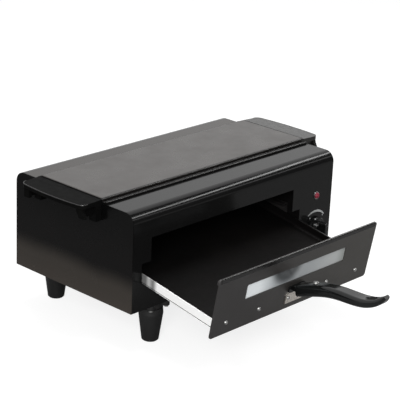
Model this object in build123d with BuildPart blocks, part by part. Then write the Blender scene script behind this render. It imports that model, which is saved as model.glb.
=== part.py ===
from build123d import *
from math import cos, radians, sin, sqrt
import os

os.makedirs("parts", exist_ok=True)

# Electric tandoor: a low sheet-metal oven on four feet, with a drawer that carries a baking tray,
# a lift-off lid over a wire grill, and a thermostat with its lamp beside the drawer.
# Millimetres. X runs to the right, Y to the back and Z up. The origin is on the table,
# under the middle of the box that holds the whole oven with its drawer open.

# Case
case_depth = 215
case_height = 129
foot_height = 55
front_y = 20.68
sheet = 1.0
bend_radius = 14
flange = 10
fit = 0.2
seat = 0.3

# Lid and its handles
lid_front_margin = 55
lid_rear_margin = 47
lid_rise = 6
lid_edge_radius = 2.2
lid_handle_reach = 36
lid_handle_bow = 4
lid_handle_corner = 9
lid_handle_thickness = 3.4
lid_handle_drop = 1.5
lid_rim_height = 6.5
lid_rim_thickness = 2.2
lid_leg_depth = 19
lid_leg_width = 9
lid_leg_thickness = 5
lid_leg_flare = 6
lid_lug_width = 12
lid_lug_depth = 27
lid_web_thickness = 4

# Drawer, measured from its rocking axis: "out" along the rails, "up" square to them
drawer_x = -25
droop = 9.65
pivot_back = 9
pivot_height = 31
door_out = 127
door_slot_overlap = 0.5
door_bottom_up = -7.7
door_top_up = 72.5
door_sheet = 1.5
door_corner = 4
door_hem_depth = 2
door_hem_height = 7
door_hem_edge = 1.5
window_width = 187.4
window_left = -95.5
window_bottom_up = 31
window_height = 20
glass_thickness = 3
glass_margin = 6
rail_up = 6.5
rail_height = 12.1
rail_slot_clearance = 2
rail_sheet = 1.2
rail_lip = 6
rail_rear_out = -81
door_screw_up = 8.4
door_screw_spans = (246.8, 129)
tray_wall = 0.8

# Front openings, measured from the bottom of the case
slot_shoulder = 15.5
opening_top = 93
slot_half_width = 148.5
slot_bottom = 35.4
slot_top = 62

# Controls
control_gap = 33.5
control_margin = 33
knob_height = 24
knob_radius = 19
knob_depth = 21
knob_gap = 1.2
shaft_radius = 3
shaft_clearance = 0.05
lamp_height = 74
lamp_radius = 5.5

# Heating elements
element_radius = 3.3
element_runs = 4
lower_element_height = 18
upper_element_height = 106
element_pitch = 44
bush_radius = 5.5

# Feet
foot_top_radius = 15.8
foot_bottom_radius = 11
foot_flange_radius = 14
foot_flange_thickness = 7
foot_inset_x = 53
foot_inset_y = 18.4
foot_ear_offset = 18.9
foot_ear_radius = 4.4

# Values worked out from the sizes above
opening_half_width = slot_half_width - slot_shoulder
control_x = drawer_x + slot_half_width + control_gap
case_width = 2 * (control_x + control_margin)
door_width = 2 * (slot_half_width + door_slot_overlap)
rail_half_width = slot_half_width - rail_slot_clearance
base_z = foot_height
top_z = base_z + case_height
rear_y = front_y + case_depth
half_width = case_width / 2
wrap_half = half_width - sheet
droop_angle = radians(droop)
pivot_y = front_y + pivot_back
pivot_z = base_z + pivot_height
out_direction = Vector(0, -cos(droop_angle), -sin(droop_angle))
up_direction = Vector(0, -sin(droop_angle), cos(droop_angle))
front_face = Plane.XZ.offset(-front_y)
rear_face = Plane(origin=(0, rear_y, 0), x_dir=(-1, 0, 0), z_dir=(0, 1, 0))
pivot_point = (drawer_x, pivot_y, pivot_z)
door_plane = Plane(origin=pivot_point, x_dir=(1, 0, 0), z_dir=out_direction)
rail_plane = Plane(origin=pivot_point, x_dir=(1, 0, 0), z_dir=up_direction)
drawer_side = Plane(origin=pivot_point, x_dir=out_direction, z_dir=(-1, 0, 0))


def block(x_range, y_range, z_range, mode=Mode.ADD):
    """A box between pairs of coordinates."""
    centre = tuple((low + high) / 2 for low, high in (x_range, y_range, z_range))
    size = [high - low for low, high in (x_range, y_range, z_range)]
    with Locations(centre):
        Box(*size, mode=mode)


def case_outline(x, inset, bottom):
    """The case seen from its end, moved in by inset, its top corners rounded as the bends are."""
    with BuildSketch(Plane.YZ.offset(x)) as outline:
        with BuildLine():
            Polyline(
                (front_y + inset, bottom),
                (front_y + inset, top_z - inset),
                (rear_y - inset, top_z - inset),
                (rear_y - inset, bottom),
                close=True,
            )
        make_face()
        fillet(outline.vertices().group_by(Axis.Y)[-1], bend_radius - inset)
    return outline.sketch


# Case wrap: one sheet bent over the front, the top and the back, with a return at each bottom edge
opening_z = (base_z + slot_bottom, base_z + opening_top)
slot_z = (base_z + slot_bottom, base_z + slot_top)
grill_half_depth = 38
grill_y = (front_y + lid_front_margin + rear_y - lid_rear_margin) / 2
top_opening_half_width = 128
inlet_height = 36
inlet_width = 30
inlet_tall = 22
shaft_hole_radius = 5
rear_screw_x = half_width - sheet - flange / 2
rear_screw_heights = (22, 104)
vent_height = 88
vent_pitch = 8
vent_length = 40
vent_width = 3
screw_hole_radius = 1.8
foot_places = {
    "front_left": (-half_width + foot_inset_x, front_y + foot_inset_y),
    "front_right": (half_width - foot_inset_x, front_y + foot_inset_y),
    "rear_left": (-half_width + foot_inset_x, rear_y - foot_inset_y),
    "rear_right": (half_width - foot_inset_x, rear_y - foot_inset_y),
}
foot_screw_places = [
    (place[0] + foot_ear_offset * x / sqrt(2), place[1] + foot_ear_offset * y / sqrt(2))
    for place in foot_places.values()
    for x, y in ((-1, -1), (-1, 1), (1, 1), (1, -1))
]

with BuildPart() as case_wrap:
    extrude(case_outline(-wrap_half, 0, base_z), amount=2 * wrap_half)
    extrude(
        case_outline(-wrap_half, sheet, base_z + sheet), amount=2 * wrap_half, mode=Mode.SUBTRACT
    )
    block(
        (-wrap_half, wrap_half),
        (front_y + sheet + flange, rear_y - sheet - flange),
        (base_z, base_z + sheet),
        mode=Mode.SUBTRACT,
    )
    with BuildSketch(front_face):
        with Locations((drawer_x, sum(opening_z) / 2)):
            Rectangle(2 * opening_half_width, opening_z[1] - opening_z[0])
        with Locations((drawer_x, sum(slot_z) / 2)):
            Rectangle(2 * slot_half_width, slot_z[1] - slot_z[0])
        with Locations((control_x, base_z + knob_height)):
            Circle(shaft_hole_radius)
        with Locations((control_x, base_z + lamp_height)):
            Circle(lamp_radius - 1.5)
    extrude(amount=-sheet, mode=Mode.SUBTRACT)
    with BuildSketch(Plane.XY.offset(top_z)):
        with Locations((drawer_x, grill_y)):
            RectangleRounded(2 * top_opening_half_width, 2 * grill_half_depth, 6)
    extrude(amount=-sheet, mode=Mode.SUBTRACT)
    with BuildSketch(rear_face):
        with Locations((-control_x, base_z + inlet_height)):
            Rectangle(inlet_width, inlet_tall)
        with Locations((-control_x, base_z + vent_height)):
            with GridLocations(0, vent_pitch, 1, 5):
                SlotOverall(vent_length, vent_width)
        for side in (-1, 1):
            for height in rear_screw_heights:
                with Locations((side * rear_screw_x, base_z + height)):
                    Circle(screw_hole_radius)
    extrude(amount=-sheet, mode=Mode.SUBTRACT)
    with BuildSketch(Plane.XY.offset(base_z)):
        with Locations(*foot_screw_places):
            Circle(screw_hole_radius)
    extrude(amount=sheet, mode=Mode.SUBTRACT)
case_wrap.part.label = "case_wrap"
export_step(case_wrap.part, "parts/case_wrap.step")


def side_plate(side):
    """A flat end plate with a flange that fits inside the wrap."""
    rim = sheet + fit
    rim_bottom = base_z + 2 * sheet + fit
    with BuildPart() as plate:
        extrude(case_outline(side * wrap_half, 0, base_z), amount=side * sheet)
        extrude(case_outline(side * wrap_half, rim, rim_bottom), amount=-side * flange)
        extrude(
            case_outline(side * wrap_half, rim + sheet, rim_bottom + sheet),
            amount=-side * flange,
            mode=Mode.SUBTRACT,
        )
        for height in rear_screw_heights:
            centre = (side * rear_screw_x, rear_y, base_z + height)
            with Locations(Location(centre, (90, 0, 0))):
                Cylinder(screw_hole_radius, 6 * sheet, mode=Mode.SUBTRACT)
    return plate.part


left_side_plate = side_plate(-1)
left_side_plate.label = "left_side_plate"
export_step(left_side_plate, "parts/left_side_plate.step")

right_side_plate = side_plate(1)
right_side_plate.label = "right_side_plate"
export_step(right_side_plate, "parts/right_side_plate.step")

# Base plate, lying on the wrap's returns, with vent slots and the holes of the feet
base_top = base_z + 2 * sheet
base_slot_length = 44
base_slot_width = 4
base_slot_pitch_x = 62
base_slot_pitch_y = 20

with BuildPart() as base_plate:
    with BuildSketch(Plane.XY.offset(base_z + sheet)):
        with Locations((0, (front_y + rear_y) / 2)):
            Rectangle(2 * (wrap_half - fit), case_depth - 2 * (sheet + fit))
        with Locations((0, (front_y + rear_y) / 2)):
            with GridLocations(base_slot_pitch_x, base_slot_pitch_y, 5, 5):
                SlotOverall(base_slot_length, base_slot_width, mode=Mode.SUBTRACT)
        with Locations(*foot_screw_places):
            Circle(screw_hole_radius, mode=Mode.SUBTRACT)
    extrude(amount=sheet)
base_plate.part.label = "base_plate"
export_step(base_plate.part, "parts/base_plate.step")

# Feet: tapered cups hung from a flange whose four corner ears are screwed up into the base
foot_chamfer = 1.5
foot_neck_height = 2.6
foot_rim_height = 8
foot_rim_radius = foot_top_radius - 0.6
foot_shoulder = foot_height - foot_flange_thickness - foot_neck_height

for name, place in foot_places.items():
    foot_profile = Plane(origin=(*place, 0), x_dir=(1, 0, 0), z_dir=(0, -1, 0))
    foot_top = Plane(origin=(*place, foot_height))
    with BuildPart() as foot:
        with BuildSketch(foot_profile):
            with BuildLine():
                Polyline(
                    (0, 0),
                    (foot_bottom_radius - foot_chamfer, 0),
                    (foot_bottom_radius, foot_chamfer),
                    (foot_top_radius, foot_shoulder - foot_rim_height),
                    (foot_rim_radius, foot_shoulder),
                    (foot_flange_radius, foot_shoulder),
                    (foot_flange_radius, foot_height),
                    (0, foot_height),
                    close=True,
                )
            make_face()
        revolve(axis=Axis((*place, 0), (0, 0, 1)))
        with BuildSketch(foot_top):
            SlotCenterToCenter(2 * foot_ear_offset, 2 * foot_ear_radius, rotation=45)
            SlotCenterToCenter(2 * foot_ear_offset, 2 * foot_ear_radius, rotation=-45)
        extrude(amount=-foot_flange_thickness)
        with BuildSketch(Plane.XY.offset(foot_height)):
            with Locations(*foot_screw_places):
                Circle(screw_hole_radius)
        extrude(amount=-foot_flange_thickness, mode=Mode.SUBTRACT)
    foot.part.label = name + "_foot"
    export_step(foot.part, "parts/" + name + "_foot.step")

screw_shank = screw_hole_radius - 0.1
foot_screw_head = 2.9
foot_screw_rise = 2.2
foot_screw_tip = 3
foot_screw_length = foot_flange_thickness + 2 * sheet + foot_screw_tip
with BuildPart() as foot_screws:
    with Locations(*[(*centre, base_z - foot_flange_thickness) for centre in foot_screw_places]):
        Cylinder(foot_screw_head, foot_screw_rise, align=(Align.CENTER, Align.CENTER, Align.MAX))
        Cylinder(screw_shank, foot_screw_length, align=(Align.CENTER, Align.CENTER, Align.MIN))
foot_screws.part.label = "foot_screws"
export_step(foot_screws.part, "parts/foot_screws.step")

# Screws that hold the side plates' flanges to the back of the wrap
rear_screw_head = 3.2
rear_screw_rise = 1.8
rear_screw_length = 7

with BuildPart() as rear_screws:
    for side in (-1, 1):
        for height in rear_screw_heights:
            rear_screw = Plane(
                origin=(side * rear_screw_x, rear_y, base_z + height), x_dir=(1, 0, 0), z_dir=(0, 1, 0)
            )
            with Locations(rear_screw):
                Cylinder(
                    rear_screw_head, rear_screw_rise, align=(Align.CENTER, Align.CENTER, Align.MIN)
                )
                Cylinder(
                    screw_shank, rear_screw_length, align=(Align.CENTER, Align.CENTER, Align.MAX)
                )
rear_screws.part.label = "rear_screws"
export_step(rear_screws.part, "parts/rear_screws.step")

# Liner: the cooking chamber, open at the front and the top, with holes for the element bushes
liner_wall = 0.8
liner_slot_margin = 0.5
liner_rear_gap = 6
liner_floor_gap = 5
liner_half_width = slot_half_width + liner_slot_margin
liner_left = drawer_x - liner_half_width
liner_right = drawer_x + liner_half_width
liner_front = front_y + sheet + seat
liner_rear = rear_y - sheet - liner_rear_gap
liner_floor = base_top + liner_floor_gap
liner_top = top_z - sheet - seat
chamber_y = (liner_front + liner_rear) / 2
element_ends_y = [
    chamber_y + side * element_pitch * (element_runs - 1) / 2 for side in (-1, 1)
]
element_heights = [base_z + lower_element_height, base_z + upper_element_height]

with BuildPart() as inner_liner:
    block(
        (liner_left - liner_wall, liner_right + liner_wall),
        (liner_front, liner_rear + liner_wall),
        (liner_floor - liner_wall, liner_top),
    )
    block(
        (liner_left, liner_right),
        (liner_front, liner_rear),
        (liner_floor, liner_top),
        mode=Mode.SUBTRACT,
    )
    extrude(
        case_outline(liner_left - liner_wall, sheet + seat, base_top),
        amount=2 * (liner_half_width + liner_wall),
        mode=Mode.INTERSECT,
    )
    with BuildSketch(Plane.YZ.offset(liner_right)):
        for height in element_heights:
            for y in element_ends_y:
                with Locations((y, height)):
                    Circle(bush_radius)
    extrude(amount=liner_wall, mode=Mode.SUBTRACT)
inner_liner.part.label = "inner_liner"
export_step(inner_liner.part, "parts/inner_liner.step")

# Guides: channels on the liner's walls that carry the drawer's rails
guide_sheet = 1.0
guide_setback = 22
guide_headroom = 26.8
guide_lip_margin = 1
guide_front = front_y + guide_setback
guide_rear = liner_rear - seat
guide_floor = pivot_z + rail_up - seat
guide_roof = guide_floor + guide_headroom
guide_inner = rail_half_width - rail_lip - guide_lip_margin


def rail_guide(side):
    """A channel whose open side faces the drawer."""
    with BuildPart() as guide:
        with BuildSketch(Plane.XZ.offset(-guide_front)):
            width = liner_half_width - guide_inner
            middle = drawer_x + side * (guide_inner + liner_half_width) / 2
            height = (guide_floor + guide_roof) / 2
            with Locations((middle, height)):
                Rectangle(width, guide_headroom + 2 * guide_sheet)
            with Locations((middle - side * guide_sheet, height)):
                Rectangle(width, guide_headroom, mode=Mode.SUBTRACT)
        extrude(amount=-(guide_rear - guide_front))
    return guide.part


left_guide = rail_guide(-1)
left_guide.label = "left_guide"
export_step(left_guide, "parts/left_guide.step")

right_guide = rail_guide(1)
right_guide.label = "right_guide"
export_step(right_guide, "parts/right_guide.step")

# Shoes that rock on pins behind the slot and carry the rails over the sill
shoe_half_length = 6
shoe_cheek = 1.4
shoe_drop = 3.2
shoe_top = rail_up - seat
cheek_top = 15
shoe_corner = 2.5
shoe_lip_margin = 0.8
pin_radius = 2
pin_clearance = 0.05
pin_head_radius = 3.2
pin_head_thickness = 1
shoe_inner = rail_half_width - rail_lip - shoe_lip_margin
shoe_outer = rail_half_width + seat


def rail_shoe(side):
    """A block under the rail with a cheek outside it, bored for its pin."""
    with BuildPart() as shoe:
        with BuildSketch(drawer_side.offset(-side * shoe_inner)) as under_rail:
            with Locations((0, (shoe_top - shoe_drop) / 2)):
                Rectangle(2 * shoe_half_length, shoe_top + shoe_drop)
            fillet(under_rail.vertices().group_by(Axis.Y)[0], shoe_corner)
        extrude(amount=-side * (shoe_outer - shoe_inner))
        with BuildSketch(drawer_side.offset(-side * shoe_outer)) as cheek:
            with Locations((0, (cheek_top - shoe_drop) / 2)):
                Rectangle(2 * shoe_half_length, cheek_top + shoe_drop)
            fillet(cheek.vertices(), shoe_corner)
        extrude(amount=-side * shoe_cheek)
        with BuildSketch(drawer_side.offset(-side * shoe_inner)):
            Circle(pin_radius + pin_clearance)
        extrude(
            amount=-side * (shoe_outer + shoe_cheek - shoe_inner), mode=Mode.SUBTRACT
        )
    return shoe.part


left_rail_shoe = rail_shoe(-1)
left_rail_shoe.label = "left_rail_shoe"
export_step(left_rail_shoe, "parts/left_rail_shoe.step")

right_rail_shoe = rail_shoe(1)
right_rail_shoe.label = "right_rail_shoe"
export_step(right_rail_shoe, "parts/right_rail_shoe.step")

with BuildPart() as shoe_pins:
    for side in (-1, 1):
        pin_head = shoe_inner - fit - pin_head_thickness
        with BuildSketch(Plane.YZ.offset(drawer_x + side * pin_head)):
            with Locations((pivot_y, pivot_z)):
                Circle(pin_radius)
        extrude(amount=side * (liner_half_width - pin_head))
        with BuildSketch(Plane.YZ.offset(drawer_x + side * pin_head)):
            with Locations((pivot_y, pivot_z)):
                Circle(pin_head_radius)
        extrude(amount=side * pin_head_thickness)
shoe_pins.part.label = "shoe_pins"
export_step(shoe_pins.part, "parts/shoe_pins.step")

# Heating elements: one rod each, folded to and fro across the chamber
terminal_length = 14
element_left_gap = 8
element_right_gap = 16
bend_reach = element_radius + element_pitch / 2
element_terminal_x = liner_right + liner_wall + terminal_length
element_left = liner_left + element_left_gap + bend_reach
element_right = liner_right - element_right_gap - bend_reach


def heating_element(height):
    """A rod that enters on the right, runs to and fro, and leaves on the right."""
    run_ends = []
    for run in range(element_runs):
        y = element_ends_y[0] + run * element_pitch
        right = element_terminal_x if run in (0, element_runs - 1) else element_right
        ends = [(right, y), (element_left, y)]
        run_ends.append(ends if run % 2 == 0 else ends[::-1])
    with BuildPart() as element:
        with BuildLine(Plane.XY.offset(height)) as path:
            for run, (start, end) in enumerate(run_ends):
                Line(start, end)
                if run + 1 < element_runs:
                    bulge = -1 if run % 2 == 0 else 1
                    middle = (end[0] + bulge * element_pitch / 2, end[1] + element_pitch / 2)
                    ThreePointArc(end, middle, run_ends[run + 1][0])
        rod_start = Plane(
            origin=(element_terminal_x, element_ends_y[0], height), z_dir=(-1, 0, 0)
        )
        with BuildSketch(rod_start):
            Circle(element_radius)
        sweep(path=path.line)
    return element.part


lower_element = heating_element(element_heights[0])
lower_element.label = "lower_element"
export_step(lower_element, "parts/lower_element.step")

upper_element = heating_element(element_heights[1])
upper_element.label = "upper_element"
export_step(upper_element, "parts/upper_element.step")

# Supports: notched strips across the chamber, one pair under each element
support_left = 60
support_right = 45
support_xs = (drawer_x - support_left, drawer_x + support_right)
support_thickness = 1.5
support_rim = 5
upper_support_depth = 10
element_fit = 0.15
element_ys = [element_ends_y[0] + run * element_pitch for run in range(element_runs)]


def element_support(bottom, height):
    """Strips between the front panel and the liner's back wall, notched for each run."""
    with BuildPart() as support:
        for x in support_xs:
            with BuildSketch(Plane.YZ.offset(x - support_thickness / 2)):
                with Locations((chamber_y, (bottom + height + support_rim) / 2)):
                    Rectangle(liner_rear - liner_front - 2 * fit, height + support_rim - bottom)
                for y in element_ys:
                    with Locations((y, height)):
                        Circle(element_radius + element_fit, mode=Mode.SUBTRACT)
                    with Locations((y, height + support_rim)):
                        Rectangle(
                            2 * (element_radius + element_fit), 2 * support_rim, mode=Mode.SUBTRACT
                        )
            extrude(amount=support_thickness)
    return support.part


lower_supports = element_support(liner_floor, element_heights[0])
lower_supports.label = "lower_supports"
export_step(lower_supports, "parts/lower_supports.step")

upper_supports = element_support(
    element_heights[1] - upper_support_depth, element_heights[1]
)
upper_supports.label = "upper_supports"
export_step(upper_supports, "parts/upper_supports.step")

# Ceramic bushes that carry the element ends through the liner's right wall
bush_bore = element_radius + 0.1
bush_inside = 2
bush_length = 8
collar_radius = bush_radius + 2.5
collar_thickness = 3

with BuildPart() as element_bushes:
    for height in element_heights:
        for y in element_ends_y:
            with BuildSketch(Plane.YZ.offset(liner_right - bush_inside)):
                with Locations((y, height)):
                    Circle(bush_radius - fit)
                    Circle(bush_bore, mode=Mode.SUBTRACT)
            extrude(amount=bush_length)
            with BuildSketch(Plane.YZ.offset(liner_right + liner_wall)):
                with Locations((y, height)):
                    Circle(collar_radius)
                    Circle(bush_bore, mode=Mode.SUBTRACT)
            extrude(amount=collar_thickness)
element_bushes.part.label = "element_bushes"
export_step(element_bushes.part, "parts/element_bushes.step")

# Wire grill over the top opening, under the lid
grill_frame_radius = 2
grill_wire_radius = 1.3
grill_pitch = 11
grill_count = 2 * int(top_opening_half_width / grill_pitch) + 1
grill_overlap = 4
grill_corner = 8
grill_z = top_z + grill_frame_radius + 0.1
grill_frame_half_x = top_opening_half_width + grill_overlap
grill_frame_half_y = grill_half_depth + grill_overlap

with BuildPart() as wire_grill:
    with BuildLine(Plane.XY.offset(grill_z)) as grill_loop:
        FilletPolyline(
            (drawer_x - grill_frame_half_x, grill_y - grill_frame_half_y),
            (drawer_x + grill_frame_half_x, grill_y - grill_frame_half_y),
            (drawer_x + grill_frame_half_x, grill_y + grill_frame_half_y),
            (drawer_x - grill_frame_half_x, grill_y + grill_frame_half_y),
            radius=grill_corner,
            close=True,
        )
    loop_start = Plane(origin=grill_loop.line @ 0, z_dir=grill_loop.line % 0)
    with BuildSketch(loop_start):
        Circle(grill_frame_radius)
    sweep(path=grill_loop.line)
    with BuildSketch(Plane.XZ.offset(-(grill_y - grill_frame_half_y))):
        with Locations((drawer_x, grill_z)):
            with GridLocations(grill_pitch, 0, grill_count, 1):
                Circle(grill_wire_radius)
    extrude(amount=-2 * grill_frame_half_y)
wire_grill.part.label = "wire_grill"
export_step(wire_grill.part, "parts/wire_grill.step")

# Thermostat behind the front, its bush standing in the panel's hole
thermostat_plane = Plane(
    origin=(control_x, front_y, base_z + knob_height), x_dir=(1, 0, 0), z_dir=(0, -1, 0)
)
thermostat_width = 32
thermostat_height = 28
thermostat_depth = 26
bush_rise = 0.5
tab_offset = 9
tab_length = 9
tab_width = 6.3
tab_thickness = 1
shaft_front = 16
shaft_bore_depth = 16
shaft_end_gap = 2

with BuildPart() as thermostat:
    with BuildSketch(thermostat_plane.offset(-sheet)):
        RectangleRounded(thermostat_width, thermostat_height, 4)
    extrude(amount=-thermostat_depth)
    with BuildSketch(thermostat_plane.offset(-sheet)):
        Circle(shaft_hole_radius - fit)
    extrude(amount=sheet + bush_rise)
    with BuildSketch(thermostat_plane.offset(bush_rise)):
        Circle(shaft_radius + shaft_clearance)
    extrude(amount=-shaft_bore_depth, mode=Mode.SUBTRACT)
    for side in (-1, 1):
        with BuildSketch(thermostat_plane.offset(-sheet - thermostat_depth)):
            with Locations((side * tab_offset, 0)):
                Rectangle(tab_thickness, tab_width)
        extrude(amount=-tab_length)
thermostat.part.label = "thermostat"
export_step(thermostat.part, "parts/thermostat.step")

with BuildPart() as thermostat_shaft:
    with BuildSketch(thermostat_plane.offset(shaft_front)):
        Circle(shaft_radius)
    extrude(amount=-(shaft_front + shaft_bore_depth - shaft_end_gap))
thermostat_shaft.part.label = "thermostat_shaft"
export_step(thermostat_shaft.part, "parts/thermostat_shaft.step")

# Knob: a skirt, a tapered hub and a grip bar across it
knob_skirt = 4.5
knob_edge = 1.5
hub_radius = 14.5
hub_depth = 11
grip_width = 7
grip_length = 32

with BuildPart() as control_knob:
    knob_profile = Plane(origin=thermostat_plane.origin, x_dir=(1, 0, 0), z_dir=(0, 0, 1))
    with BuildSketch(knob_profile):
        with BuildLine():
            Polyline(
                (0, -knob_gap),
                (knob_radius, -knob_gap),
                (knob_radius, -knob_gap - knob_skirt + knob_edge),
                (knob_radius - knob_edge, -knob_gap - knob_skirt),
                (hub_radius, -knob_gap - knob_skirt - 0.5),
                (hub_radius - knob_edge, -knob_gap - hub_depth),
                (0, -knob_gap - hub_depth),
                close=True,
            )
        make_face()
    revolve(axis=Axis(thermostat_plane.origin, (0, 1, 0)))
    with BuildSketch(thermostat_plane.offset(knob_gap + knob_skirt)):
        SlotOverall(grip_length, grip_width, rotation=90)
    extrude(amount=knob_depth - knob_skirt, taper=3)
    fillet(control_knob.faces().sort_by(Axis.Y)[0].edges(), knob_edge)
    with BuildSketch(thermostat_plane.offset(knob_gap)):
        Circle(shaft_radius + 0.02)
    extrude(amount=shaft_front - knob_gap, mode=Mode.SUBTRACT)
control_knob.part.label = "control_knob"
export_step(control_knob.part, "parts/control_knob.step")

# Indicator lamp: bezel, lens and the body behind the panel
lamp_plane = Plane(
    origin=(control_x, front_y, base_z + lamp_height), x_dir=(1, 0, 0), z_dir=(0, -1, 0)
)
lamp_profile = Plane(origin=lamp_plane.origin, x_dir=(1, 0, 0), z_dir=(0, 0, 1))
lamp_axis = Axis(lamp_plane.origin, (0, 1, 0))
lamp_hole_radius = lamp_radius - 1.5
bezel_barrel = 8
bezel_rise = 1.4
lens_radius = lamp_hole_radius - 1
lens_rim = lamp_radius - 1.2
lens_dome = 3
dome_tip = bezel_rise + lens_dome
dome_radius = (lens_rim**2 + lens_dome**2) / (2 * lens_dome)
dome_middle = dome_radius - dome_tip - sqrt(dome_radius**2 - lens_rim**2 / 4)

with BuildPart() as lamp_bezel:
    with BuildSketch(lamp_plane):
        Circle(lamp_radius)
        Circle(lens_radius + 0.1, mode=Mode.SUBTRACT)
    extrude(amount=bezel_rise, taper=15)
    with BuildSketch(lamp_plane):
        Circle(lamp_hole_radius - fit)
        Circle(lens_radius + 0.1, mode=Mode.SUBTRACT)
    extrude(amount=-bezel_barrel)
lamp_bezel.part.label = "lamp_bezel"
export_step(lamp_bezel.part, "parts/lamp_bezel.step")

with BuildPart() as lamp_lens:
    with BuildSketch(lamp_profile):
        with BuildLine():
            Line((0, bezel_barrel), (lens_radius, bezel_barrel))
            Line((lens_radius, bezel_barrel), (lens_radius, -bezel_rise))
            Line((lens_radius, -bezel_rise), (lens_rim, -bezel_rise))
            ThreePointArc((lens_rim, -bezel_rise), (lens_rim / 2, dome_middle), (0, -dome_tip))
            Line((0, -dome_tip), (0, bezel_barrel))
        make_face()
    revolve(axis=lamp_axis)
lamp_lens.part.label = "lamp_lens"
export_step(lamp_lens.part, "parts/lamp_lens.step")

lamp_body_length = 14
lamp_nut_radius = lamp_radius + 1

with BuildPart() as lamp_body:
    with BuildSketch(lamp_plane.offset(-bezel_barrel)):
        Circle(lamp_radius)
    extrude(amount=-lamp_body_length)
    with BuildSketch(lamp_plane.offset(-sheet)):
        Circle(lamp_nut_radius)
        Circle(lamp_hole_radius, mode=Mode.SUBTRACT)
    extrude(amount=-(bezel_barrel - sheet))
lamp_body.part.label = "lamp_body"
export_step(lamp_body.part, "parts/lamp_body.step")

# Terminal block on the base and the appliance inlet in the back, both behind the controls
terminal_half_width = 16
terminal_half_depth = 9
terminal_height = 14
terminal_rear_gap = 62
terminal_y = rear_y - terminal_rear_gap - terminal_half_depth
terminal_pitch = 10

with BuildPart() as terminal_block:
    block(
        (control_x - terminal_half_width, control_x + terminal_half_width),
        (terminal_y - terminal_half_depth, terminal_y + terminal_half_depth),
        (base_top, base_top + terminal_height),
    )
    with BuildSketch(Plane.XY.offset(base_top + terminal_height)):
        with Locations((control_x, terminal_y)):
            with GridLocations(terminal_pitch, 0, 3, 1):
                Circle(2.5)
    extrude(amount=-6, mode=Mode.SUBTRACT)
terminal_block.part.label = "terminal_block"
export_step(terminal_block.part, "parts/terminal_block.step")

inlet_depth = 16
inlet_flange_depth = 2.5
inlet_margin = 5
inlet_wall = 1.8
inlet_back = 2
inlet_pin_offset = 7
inlet_pin_radius = 2
inlet_pin_tail = 8
inlet_plane = Plane(
    origin=(control_x, rear_y, base_z + inlet_height), x_dir=(-1, 0, 0), z_dir=(0, 1, 0)
)

with BuildPart() as inlet_housing:
    with BuildSketch(inlet_plane):
        RectangleRounded(inlet_width + 2 * inlet_margin, inlet_tall + 2 * inlet_margin, 3)
    extrude(amount=inlet_flange_depth)
    with BuildSketch(inlet_plane):
        Rectangle(inlet_width - 2 * fit, inlet_tall - 2 * fit)
    extrude(amount=-inlet_depth)
    with BuildSketch(inlet_plane.offset(inlet_flange_depth)):
        Rectangle(inlet_width - 2 * inlet_wall, inlet_tall - 2 * inlet_wall)
    extrude(amount=-(inlet_flange_depth + inlet_depth - inlet_back), mode=Mode.SUBTRACT)
    with BuildSketch(inlet_plane.offset(inlet_back - inlet_depth)):
        with Locations((-inlet_pin_offset, 0), (inlet_pin_offset, 0)):
            Circle(inlet_pin_radius + 0.1)
    extrude(amount=-inlet_back, mode=Mode.SUBTRACT)
inlet_housing.part.label = "inlet_housing"
export_step(inlet_housing.part, "parts/inlet_housing.step")

with BuildPart() as inlet_pins:
    with BuildSketch(inlet_plane):
        with Locations((-inlet_pin_offset, 0), (inlet_pin_offset, 0)):
            Circle(inlet_pin_radius)
    extrude(amount=-(inlet_depth + inlet_pin_tail))
inlet_pins.part.label = "inlet_pins"
export_step(inlet_pins.part, "parts/inlet_pins.step")

# Drawer frame: a bent strip with a lip that carries the tray, and a tall front face for the door
frame_front_out = door_out - door_sheet
frame_middle_out = (frame_front_out + rail_rear_out) / 2
frame_length = frame_front_out - rail_rear_out
frame_face_bottom_up = 2
frame_face_inset = 10
frame_corner = 3

with BuildPart() as tray_frame:
    with BuildSketch(rail_plane.offset(rail_up)):
        with Locations((0, -frame_middle_out)):
            RectangleRounded(2 * rail_half_width, frame_length, frame_corner)
    extrude(amount=rail_height)
    with BuildSketch(rail_plane.offset(rail_up + rail_sheet)):
        with Locations((0, -frame_middle_out)):
            Rectangle(2 * (rail_half_width - rail_sheet), frame_length - 2 * rail_sheet)
    extrude(amount=rail_height, mode=Mode.SUBTRACT)
    with BuildSketch(rail_plane.offset(rail_up)):
        with Locations((0, -frame_middle_out)):
            Rectangle(
                2 * (rail_half_width - rail_sheet - rail_lip),
                frame_length - 2 * (rail_sheet + rail_lip),
            )
    extrude(amount=rail_sheet, mode=Mode.SUBTRACT)
    with BuildSketch(door_plane.offset(frame_front_out)):
        with Locations((0, (frame_face_bottom_up + rail_up + rail_height) / 2)):
            Rectangle(
                2 * (rail_half_width - frame_face_inset),
                rail_up + rail_height - frame_face_bottom_up,
            )
    extrude(amount=-rail_sheet)
    with BuildSketch(door_plane.offset(frame_front_out)):
        for span in door_screw_spans:
            with Locations((0, door_screw_up)):
                with GridLocations(span, 0, 2, 1):
                    Circle(screw_hole_radius)
    extrude(amount=-rail_sheet, mode=Mode.SUBTRACT)
tray_frame.part.label = "tray_frame"
export_step(tray_frame.part, "parts/tray_frame.step")

tray_fit = 0.3
tray_corner = 8
tray_bottom_radius = 4

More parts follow.
